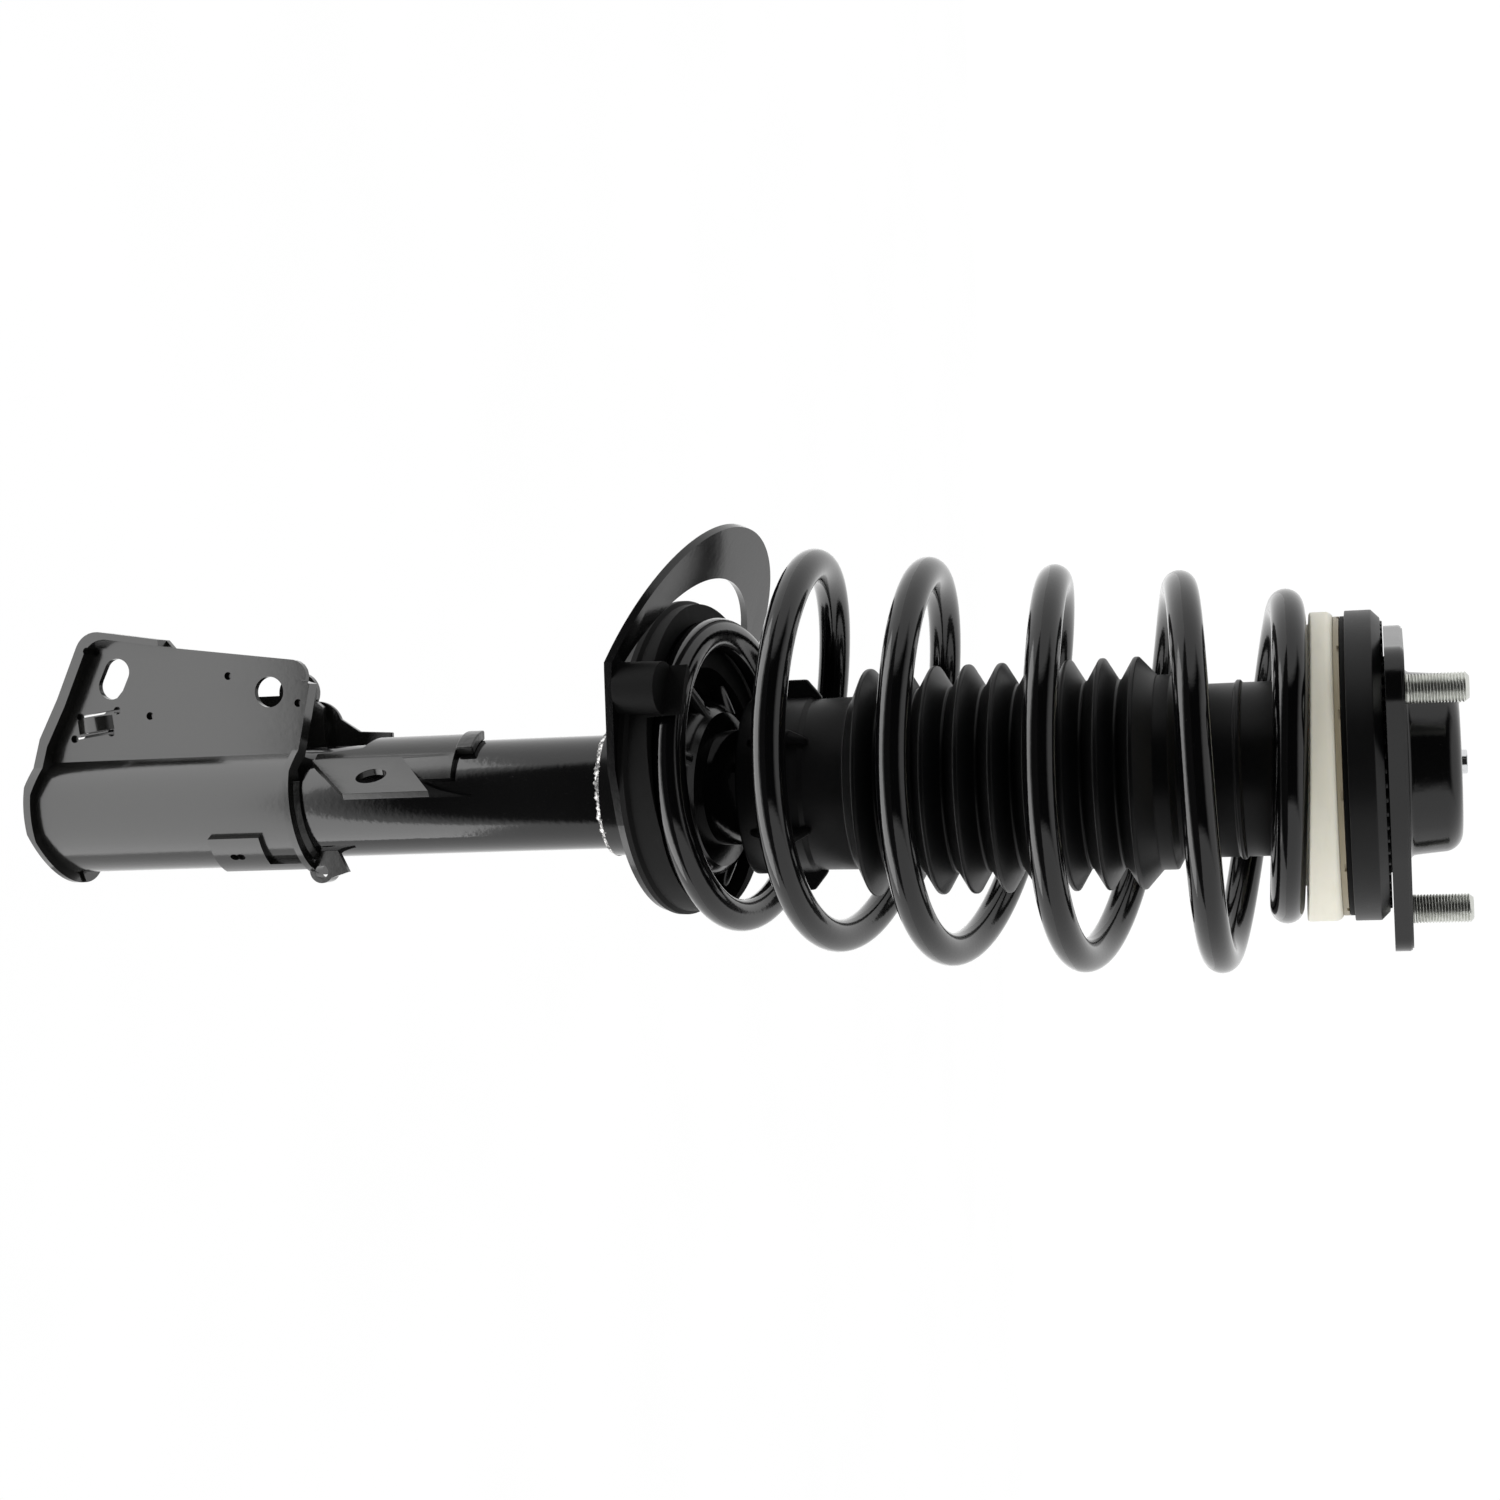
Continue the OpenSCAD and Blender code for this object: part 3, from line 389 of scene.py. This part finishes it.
def spread(name, source, settings, material):
    # copies of the source on a ring about the strut's axis, each turned to face outwards
    tree = bpy.data.node_groups.new(name + "Spread", "GeometryNodeTree")

    def into(label, kind):
        return tree.interface.new_socket(label, in_out="INPUT", socket_type="NodeSocket" + kind)

    into("Host", "Geometry")
    sourceIn = into("Source", "Object")
    countIn = into("Count", "Int")
    radiusIn = into("Ring radius", "Float")
    finishIn = into("Finish", "Material")
    tree.interface.new_socket("Mesh", in_out="OUTPUT", socket_type="NodeSocketGeometry")
    wire = Wire(tree)
    given = tree.nodes.new("NodeGroupInput")
    sourceWire, count, ringRadius, paint = [Wire(tree, given.outputs[k]) for k in range(1, 5)]
    ring = wire.node("GeometryNodeMeshCircle", {}, {"Vertices": count, "Radius": ringRadius})
    info = wire.node("GeometryNodeObjectInfo", {}, {"Object": sourceWire}, out=4)
    index = wire.node("GeometryNodeInputIndex")
    angle = index * (2 * math.pi) / count
    rotation = wire.node("ShaderNodeCombineXYZ", {}, {"Z": angle})
    many = wire.node("GeometryNodeInstanceOnPoints", {}, {
        "Points": ring, "Instance": info, "Rotation": rotation})
    many = wire.node("GeometryNodeRealizeInstances", {}, {"Geometry": many})
    many = wire.node("GeometryNodeSetMaterial", {}, {"Geometry": many, "Material": paint})
    wire.node("NodeGroupOutput", {}, {0: many})
    host = bpy.data.objects.new(name, bpy.data.meshes.new(name + "Host"))
    scene.collection.objects.link(host)
    modifier = host.modifiers.new("spread", "NODES")
    modifier.node_group = tree
    modifier[sourceIn.identifier] = source
    modifier[countIn.identifier] = settings["count"]
    modifier[radiusIn.identifier] = settings["ringRadius"] * mm
    modifier[finishIn.identifier] = material
    settle(host)
    bpy.data.objects.remove(source)
    return host


# Coil spring

springWire = {
    "radius": 7.12,
    "start": 0.55,
    "end": 12.45,
    "stations": 520,
    "sides": 28,
    # every half turn: centre x, mean radius, height, lean with x, lean with y
    "knots": [
        (-6.3, 62, -290.2, 0.047, 0.158), (-6.3, 62, -290.2, 0.047, 0.158),
        (-5.8, 62.5, -288.6, 0.04, 0.15), (-15, 80.9, -257.3, -0.11, 0.13),
        (-13.6, 80.2, -234.1, -0.11, 0.11), (-9, 81, -208.4, -0.12, 0.09),
        (-8, 81.5, -182.9, -0.12, 0.08), (-4, 79.7, -153.4, -0.12, 0.05),
        (-3, 80.2, -125.4, -0.12, 0.03), (-0.5, 77.8, -96.5, -0.07, -0.03),
        (0, 78.2, -73, -0.06, -0.05), (-5, 63.2, -50, -0.04, -0.04),
        (-5, 63.2, -48.7, -0.04, -0.04), (-5, 63.2, -48.7, -0.04, -0.04)],
}


def wireAt(t):
    # t counts half turns; a smooth curve runs through the knots
    knots = springWire["knots"]
    i = int(math.floor(t))
    f = t - i
    a, b, c, d = [Vector(knots[max(0, min(len(knots) - 1, k))]) for k in (i - 1, i, i + 1, i + 2)]
    square = 2 * a - 5 * b + 4 * c - d
    cube = 3 * b - a - 3 * c + d
    centre, around, height, leanX, leanY = 0.5 * (2 * b + f * (c - a) + f * f * square + f ** 3 * cube)
    x = centre + around * math.cos(math.pi * t)
    y = around * math.sin(math.pi * t)
    return x, y, height + leanX * x + leanY * y


def makeSpring():
    s = springWire
    curve = bpy.data.curves.new("springPath", "CURVE")
    curve.dimensions = "3D"
    spline = curve.splines.new("POLY")
    count = s["stations"]
    spline.points.add(count - 1)
    for i, point in enumerate(spline.points):
        x, y, z = wireAt(s["start"] + (s["end"] - s["start"]) * i / (count - 1))
        point.co = (x * mm, y * mm, z * mm, 1)
    piece = bpy.data.objects.new("springPath", curve)
    scene.collection.objects.link(piece)

    # sweep: a round bar along the path, its cut ends filled
    tree = bpy.data.node_groups.new("springSweep", "GeometryNodeTree")
    tree.interface.new_socket("Path", in_out="INPUT", socket_type="NodeSocketGeometry")
    radius = tree.interface.new_socket("Wire radius", in_out="INPUT", socket_type="NodeSocketFloat")
    sides = tree.interface.new_socket("Sides", in_out="INPUT", socket_type="NodeSocketInt")
    paint = tree.interface.new_socket("Finish", in_out="INPUT", socket_type="NodeSocketMaterial")
    tree.interface.new_socket("Mesh", in_out="OUTPUT", socket_type="NodeSocketGeometry")
    wire = Wire(tree)
    given = tree.nodes.new("NodeGroupInput")
    path, wireRadius, sideCount, paintIn = [Wire(tree, given.outputs[k]) for k in range(4)]
    ring = wire.node("GeometryNodeCurvePrimitiveCircle", {"mode": "RADIUS"},
                     {"Resolution": sideCount, "Radius": wireRadius})
    bar = wire.node("GeometryNodeCurveToMesh", {}, {
        "Curve": path, "Profile Curve": ring, "Fill Caps": True})
    bar = wire.node("GeometryNodeSetShadeSmooth", {}, {"Geometry": bar})
    bar = wire.node("GeometryNodeRealizeInstances", {}, {"Geometry": bar})
    bar = wire.node("GeometryNodeSetMaterial", {}, {"Geometry": bar, "Material": paintIn})
    wire.node("NodeGroupOutput", {}, {0: bar})
    modifier = piece.modifiers.new("sweep", "NODES")
    modifier.node_group = tree
    modifier[radius.identifier] = s["radius"] * mm
    modifier[sides.identifier] = s["sides"]
    modifier[paint.identifier] = finish["spring_paint"]
    graph = bpy.context.evaluated_depsgraph_get()
    mesh = bpy.data.meshes.new_from_object(piece.evaluated_get(graph))
    bpy.data.objects.remove(piece)
    coil = bpy.data.objects.new("springCoil", mesh)
    scene.collection.objects.link(coil)
    faceOutwards(coil)
    return shade(coil, 50.0)


spring = makeSpring()
dressAs(spring, "coil_spring")
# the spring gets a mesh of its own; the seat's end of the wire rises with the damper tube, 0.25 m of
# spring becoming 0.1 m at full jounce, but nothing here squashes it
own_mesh(spring)
print("spring:", len(spring.data.polygons), "faces")


# Dust boot

bootSettings = {
    "sides": 160,
    "corner": 1.1,
    "top": -29.6,
    "foot": -279,
    "wall": 1.8,
    "pleats": 9,
    "pitch": 14.46,
    "firstPleat": -109.8,
    "crest": 50,
    "valley": 40,
    "neck": 36.8,
    # a clip band round the neck, then the shoulder above the first pleat: radius, height
    "clipBand": [(36.8, -66), (38, -66.6), (38, -68.4), (36.8, -69)],
    "shoulder": [(36.8, -92.6), (41.5, -95.2)],
    "sleeve": [(37.5, -250), (38.5, -252)],
    # each pleat's crest and valley are blunted by these amounts inwards and upwards
    "crestBlunt": (0.35, 0.9),
    "valleyBlunt": (0.3, 0.7),
    "lastValley": 37.5,
    "fins": 6,
    "finHalf": 1.5,
    "finCorner": 2.0,
    "finEdge": 0.5,
    "finMiddle": (40, -261),
    "fin": [(36.6, -246), (46.3, -254), (46.3, -262), (36.6, -278)],
}


def bootOutline(s):
    half = s["pitch"] / 2
    outer = [(s["neck"], s["top"])] + s["clipBand"] + s["shoulder"]
    outer.append((s["shoulder"][1][0], s["firstPleat"] + half + 1))
    crestIn, crestUp = s["crestBlunt"]
    valleyIn, valleyUp = s["valleyBlunt"]
    for i in range(s["pleats"]):
        z = s["firstPleat"] - i * s["pitch"]
        crest = s["crest"] - crestIn
        valley = (s["lastValley"] if i == s["pleats"] - 1 else s["valley"]) + valleyIn
        outer += [(crest, z + crestUp), (crest, z - crestUp)]
        outer += [(valley, z - half + valleyUp), (valley, z - half - valleyUp)]
    outer += s["sleeve"] + [(s["sleeve"][1][0], s["foot"])]
    inner = [(r - s["wall"], z) for r, z in reversed(outer)]
    return rounded(outer + inner, s["corner"], 3)


def addFin(work, s, turn):
    # a flat fin with softened edges: four copies of its outline, the outer two drawn in
    outline = rounded(s["fin"], s["finCorner"], 4)
    half, edge = s["finHalf"], s["finEdge"]
    layers = []
    for y, shrink in ((-half, edge), (-half + edge, 0.0), (half - edge, 0.0), (half, edge)):
        middle = Vector((s["finMiddle"][0], y, s["finMiddle"][1]))
        layer = []
        for r, z in outline:
            corner = Vector((r, y, z))
            corner += (middle - corner).normalized() * shrink
            layer.append(work.verts.new(turn @ corner * mm))
        layers.append(layer)
    count = len(outline)
    for a, b in zip(layers, layers[1:]):
        for k in range(count):
            m = (k + 1) % count
            work.faces.new((a[k], a[m], b[m], b[k]))
    work.faces.new(layers[0])
    work.faces.new(list(reversed(layers[-1])))


def makeBoot():
    s = bootSettings
    body = lathe("dustBoot", bootOutline(s), s["sides"])
    work = bmesh.new()
    work.from_mesh(body.data)
    # the fins guide the foot inside the spring
    for i in range(s["fins"]):
        addFin(work, s, Matrix.Rotation(math.pi + 2 * math.pi * i / s["fins"], 3, "Z"))
    bmesh.ops.recalc_face_normals(work, faces=work.faces)
    work.to_mesh(body.data)
    work.free()
    return shade(body, 40)


boot = makeBoot()
dressAs(boot, "dust_boot")
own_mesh(boot)
print("boot:", len(boot.data.polygons), "faces")


# Studs: a pressed head, a plain neck (knurled on the real stud) and a rolled thread

studSettings = {
    "count": 3,
    "ringRadius": 60.5,
    "thread": 6.0,
    "pitch": 1.25,
    "depth": 0.6,
    "start": 0.6,
    "end": 23.0,
    "tip": 24.5,
    "head": 9.5,
    "neck": 6.45,
    "plate": 3.0,
    "headThick": 3.0,
    "sides": 48,
    "step": 0.16,
    # the thread deepens over its first few rings, has flats on its crests, and ends in a blunt point
    "runIn": 8,
    "crestFlat": 1.35,
    "chamfer": 1.5,
    "tipEdge": 0.1,
    "headEdge": 0.6,
    "rootDrop": 0.02,
    "rootIn": 0.25,
    "gap": 0.05,
    "axis": 0.01,
}


def studRings(s):
    # height, radius and how deep the thread is cut, from the head's face to the tip
    top = -s["plate"] - s["gap"]
    foot = -s["plate"] - s["headThick"]
    rings = [(foot, s["axis"], 0), (foot, s["head"] - s["headEdge"], 0)]
    rings += [(foot + s["headEdge"], s["head"], 0), (top, s["head"], 0), (top, s["neck"], 0)]
    rings += [(-s["gap"], s["neck"], 0), (-s["rootDrop"], s["thread"] - s["rootIn"], 0)]
    steps = int((s["end"] - s["start"]) / s["step"])
    for i in range(steps + 1):
        rings.append((s["start"] + i * s["step"], s["thread"], min(1.0, i / s["runIn"])))
    rings.append((s["tip"] - s["tipEdge"], s["thread"] - s["chamfer"], 0))
    rings.append((s["tip"], s["thread"] - s["chamfer"] - 2 * s["tipEdge"], 0))
    rings.append((s["tip"], s["axis"], 0))
    return rings


def makeStud():
    s = studSettings
    rings = studRings(s)
    sides = s["sides"]
    verts, faces = [], []
    for z, r, cut in rings:
        for k in range(sides):
            part = k / sides
            phase = (z / s["pitch"] - part) % 1.0
            ridge = min(1.0, s["crestFlat"] * (1 - abs(2 * phase - 1)))
            here = r - cut * s["depth"] * (1 - ridge)
            a = 2 * math.pi * part
            verts.append((here * math.cos(a), here * math.sin(a), z))
    for i in range(len(rings) - 1):
        low, high = i * sides, (i + 1) * sides
        for k in range(sides):
            m = (k + 1) % sides
            faces.append((low + k, low + m, high + m, high + k))
    faces.append(tuple(range(sides))[::-1])
    faces.append(tuple(range((len(rings) - 1) * sides, len(rings) * sides)))
    return faceOutwards(linkMesh("stud", verts, faces))


studs = spread("threadedStuds", makeStud(), studSettings, finish["zinc"])
shade(studs, 50)
dressAs(studs, "mount_studs")
print("studs:", len(studs.data.polygons), "faces")


# Weld beads: rings whose section swells and wanders from ripple to ripple

seatBead = {
    "radius": 25.9,
    "height": -343.0,
    "section": 2.9,
    "ripples": 74,
    "steps": 740,
    "sides": 14,
    "swell": 0.42,
    "wander": 0.8,
}


def makeBead(name, s):
    verts, faces = [], []
    for i in range(s["steps"]):
        part = i / s["steps"]
        a = 2 * math.pi * part
        out = Vector((math.cos(a), math.sin(a), 0))
        slow = noise.noise(out * 2.3 + Vector((4.1, 0, 0)))
        quick = noise.noise(out * 9.0)
        ripple = abs(math.sin(math.pi * s["ripples"] * part + 1.4 * slow))
        size = s["section"] * (1 - s["swell"] + s["swell"] * (0.45 * ripple + 0.35 + 0.7 * quick))
        lift = s["wander"] * slow
        for k in range(s["sides"]):
            b = 2 * math.pi * k / s["sides"]
            rough = 1 + 0.16 * noise.noise(Vector((math.cos(a) * 30, math.sin(a) * 30, b * 1.3)))
            r = s["radius"] + size * rough * math.cos(b) * 0.9
            verts.append((r * out.x, r * out.y, s["height"] + lift + size * rough * math.sin(b)))
    for i in range(s["steps"]):
        j = (i + 1) % s["steps"]
        for k in range(s["sides"]):
            m = (k + 1) % s["sides"]
            near, far = i * s["sides"], j * s["sides"]
            faces.append((near + k, far + k, far + m, near + m))
    return shade(faceOutwards(linkMesh(name, verts, faces)), 60)


bead = makeBead("seatBead", seatBead)
dressAs(bead, "seat_weld")
print("weld bead:", len(bead.data.polygons), "faces")


# Plain CAD nodes take their finish

for nodeName, nodeObject in frame["nodes"].items():
    for index in range(max(1, len(nodeObject.material_slots))):
        if not nodeObject.material_slots:
            nodeObject.data.materials.append(finish[slotOf[nodeName]])
        nodeObject.material_slots[index].material = finish[slotOf[nodeName]]

# pressed sheet, moulded and welded pieces have soft edges: each one's width
edgeWidths = {
    "mount_plate": 0.9, "bearing_cover": 0.4, "lower_spring_seat": 0.7, "knuckle_bracket": 1.1,
    "hose_tab": 0.5, "wire_clip": 0.5, "link_bracket": 0.6, "hose_eye": 0.5, "lower_isolator": 0.8,
    "upper_spring_seat": 2.6, "bearing_base": 0.3, "damper_tube": 0.4, "bracket_weld": 0.3,
    "link_weld": 0.8, "eye_weld": 0.5, "striker_cap": 0.3, "rod_nut": 0.5, "rod_washer": 0.3,
    "inner_sleeve": 0.5, "piston_rod": 0.5, "mount_rubber": 0.8, "lower_cup": 0.4,
}
for nodeName, width in edgeWidths.items():
    edgedCopy(nodeName, width)
print("CAD copies edged")


# Camera, floor and lights

# the strut lies on its side in the picture, so the camera's right is the strut's up
view = {
    "place": (-0.01625, -1.10324, -0.00707),
    "right": (0.03887, 0.24092, 0.96977),
    "up": (-0.99924, 0.00937, 0.03772),
    "lens": 61.69,
    "sensor": 36.0,
    "clipEnd": 20,
}
cameraData = bpy.data.cameras.new("camera")
cameraData.lens = view["lens"]
cameraData.sensor_width = view["sensor"]
cameraData.clip_end = view["clipEnd"]
camera = bpy.data.objects.new("camera", cameraData)
scene.collection.objects.link(camera)
right = Vector(view["right"]).normalized()
back = right.cross(Vector(view["up"])).normalized()
turned = Matrix((right, back.cross(right), back)).transposed()
camera.matrix_world = Matrix.Translation(view["place"]) @ turned.to_4x4()
scene.camera = camera

studio = {
    "floorDrop": 0.003,
    "floorSize": 6.0,
    "floorGlow": 0.54,
    "floorFar": -0.47,
    "floorNear": -0.36,
    "farTone": (0.03, 0.03, 0.03),
    "nearTone": (0.85, 0.85, 0.85),
    "seenFloor": 0.99,
    "seenRoom": 1.02,
    "sideLight": 1.0,
    "darkLeft": -0.79,
    "darkRight": 0.50,
    "darkTop": 0.80,
    "darkLevel": 0.02,
    # how softly the dark side's borders fade
    "sideFade": 0.05,
    "topFade": 0.08,
    "behindFade": 0.10,
}


def makeFloor():
    s = studio
    half = s["floorSize"] / 2
    z = cadLow.z - s["floorDrop"]
    corners = [(-half, -half, z), (half, -half, z), (half, half, z), (-half, half, z)]
    mesh = bpy.data.meshes.new("floor")
    mesh.from_pydata(corners, [], [(0, 1, 2, 3)])
    floor = bpy.data.objects.new("floor", mesh)
    scene.collection.objects.link(floor)
    material, wire, place = startMaterial("paleFloor")
    apart = wire.node("ShaderNodeSeparateXYZ", {}, {"Vector": place}, out=1)
    cloud = noiseAt(wire, place, 6, 3)
    # what the object mirrors: bright floor near it and behind it, dark on the room's dark side
    near = apart.clip(s["floorFar"], s["floorNear"])
    tone = mixColour(wire, near, rgba(s["farTone"]), rgba(s["nearTone"]))
    lit = wire.node("ShaderNodeBsdfPrincipled", {}, {
        "Base Color": tone, "Roughness": 0.85 + cloud * 0.1,
        "Emission Color": (1, 1, 1, 1), "Emission Strength": near * s["floorGlow"] + 0.01})
    pale = wire.node("ShaderNodeEmission", {}, {
        "Color": (1, 1, 1, 1), "Strength": s["seenFloor"] + cloud * 0.02})
    seen = wire.node("ShaderNodeLightPath", out=0)
    both = wire.node("ShaderNodeMixShader", {}, {0: seen, 1: lit, 2: pale})
    wire.node("ShaderNodeOutputMaterial", {}, {"Surface": both})
    mesh.materials.append(material)


def makeWorld():
    s = studio
    world = bpy.data.worlds.new("studio")
    world.use_nodes = True
    tree = world.node_tree
    tree.nodes.clear()
    wire = Wire(tree)
    toward = wire.node("ShaderNodeTexCoord")
    apart = wire.node("ShaderNodeSeparateXYZ", {}, {"Vector": toward})
    x, y, z = [Wire(tree, output) for output in apart.socket.node.outputs]
    # the side that the camera stands on is dark between two white walls
    side, top = s["sideFade"], s["topFade"]
    openLeft = 1 - x.clip(s["darkLeft"] - side, s["darkLeft"] + side)
    openRight = x.clip(s["darkRight"] - side, s["darkRight"] + side)
    openTop = z.clip(s["darkTop"] - top, s["darkTop"] + top)
    behind = y.clip(-s["behindFade"], s["behindFade"])
    lit = openLeft.maths("MAXIMUM", openLeft, openRight)
    lit = lit.maths("MAXIMUM", lit, openTop)
    lit = lit.maths("MAXIMUM", lit, behind)
    level = lit * (s["sideLight"] - s["darkLevel"]) + s["darkLevel"]
    seen = wire.node("ShaderNodeLightPath", out=0)
    room = wire.node("ShaderNodeBackground", {}, {"Color": (1, 1, 1, 1), "Strength": level})
    white = wire.node("ShaderNodeBackground", {}, {"Color": (1, 1, 1, 1), "Strength": s["seenRoom"]})
    both = wire.node("ShaderNodeMixShader", {}, {0: seen, 1: room, 2: white})
    wire.node("ShaderNodeOutputWorld", {}, {"Surface": both})
    scene.world = world


def areaLight(name, place, target, size, power, mirrored):
    data = bpy.data.lights.new(name, "AREA")
    data.shape = "RECTANGLE"
    data.size, data.size_y = size
    data.energy = power
    light = bpy.data.objects.new(name, data)
    light.location = place
    light.rotation_euler = (Vector(target) - Vector(place)).to_track_quat("-Z", "Y").to_euler()
    light.visible_camera = False
    light.visible_glossy = mirrored
    scene.collection.objects.link(light)


lamps = {
    # light that the pale floor throws up along the front of the tube
    "floorBounce": {
        "place": (0, -0.17, cadLow.z - 0.001), "target": (0, -0.17, 0),
        "size": (1.2, 0.30), "power": 3.0, "mirrored": True},
    # a wide soft light beside the camera, which the gloss paint doesn't mirror
    "frontFill": {
        "place": (0.1, -1.6, 0.3), "target": (0, 0, -0.3),
        "size": (1.4, 1.0), "power": 8.0, "mirrored": False},
}
makeFloor()
makeWorld()
for lampName, lamp in lamps.items():
    areaLight(lampName, **lamp)
scene.view_settings.view_transform = "Standard"
print("camera and studio placed")
